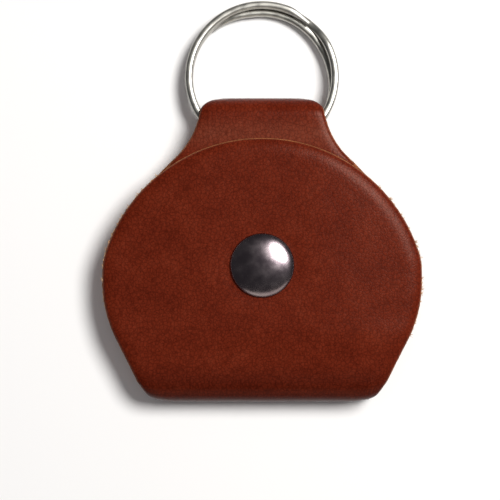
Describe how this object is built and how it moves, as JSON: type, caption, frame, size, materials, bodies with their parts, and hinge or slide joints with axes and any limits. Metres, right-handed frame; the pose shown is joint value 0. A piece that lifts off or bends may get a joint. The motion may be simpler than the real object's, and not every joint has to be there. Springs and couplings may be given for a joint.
{
  "type": "leather pick holder key ring",
  "caption": "Folded leather holder for guitar picks with a front flap closed by a domed snap, hung on a split key ring.",
  "frame": {"origin": "on the snap's axis, in the plane of the back face", "axes": "+X to the right seen from the front, +Y towards the key ring, +Z out of the front"},
  "size_m": [0.063, 0.0802, 0.0115],
  "materials": {
    "leather": "reddish brown smooth grain, raw tan edges",
    "cap_chrome": "polished dark nickel",
    "snap_nickel": "nickel plated",
    "spring_steel": "drawn wire",
    "ring_steel": "nickel plated steel wire"
  },
  "bodies": {
    "holder": {"back_panel": "leather", "inner_panel": "leather", "snap_stud": "snap_nickel", "back_post": "snap_nickel"},
    "fold": {"bottom_fold": "leather"},
    "flap": {"front_flap": "leather", "snap_cap": "cap_chrome", "cap_post": "snap_nickel", "snap_socket": "snap_nickel", "socket_spring": "spring_steel"},
    "neck": {"ring_loop": "leather"},
    "ring": {"split_ring": "ring_steel"}
  },
  "joints": [
    {"name": "fold_bend", "type": "hinge", "parent": "holder", "child": "fold", "pos_m": [0, -0.0253, 0.0019], "axis": [1, 0, 0], "range_deg": [0, 90], "deforming": ["bottom_fold"]},
    {"name": "flap_open", "type": "hinge", "parent": "fold", "child": "flap", "pos_m": [0, -0.0253, 0.0067], "axis": [1, 0, 0], "range_deg": [0, 90], "deforming": ["socket_spring"]},
    {"name": "neck_flex", "type": "hinge", "parent": "holder", "child": "neck", "pos_m": [0, 0.02175, 0], "axis": [1, 0, 0], "range_deg": [-25, 0], "stiffness_Nm_per_rad": 0.02},
    {"name": "ring_spin", "type": "hinge", "parent": "neck", "child": "ring", "pos_m": [0, 0.03755, 0.00293], "axis": [0, 0.0872, 0.9962], "continuous": true}
  ],
  "couplings": [
    {"joint": "flap_open", "follows": "fold_bend", "ratio": 1}
  ]
}
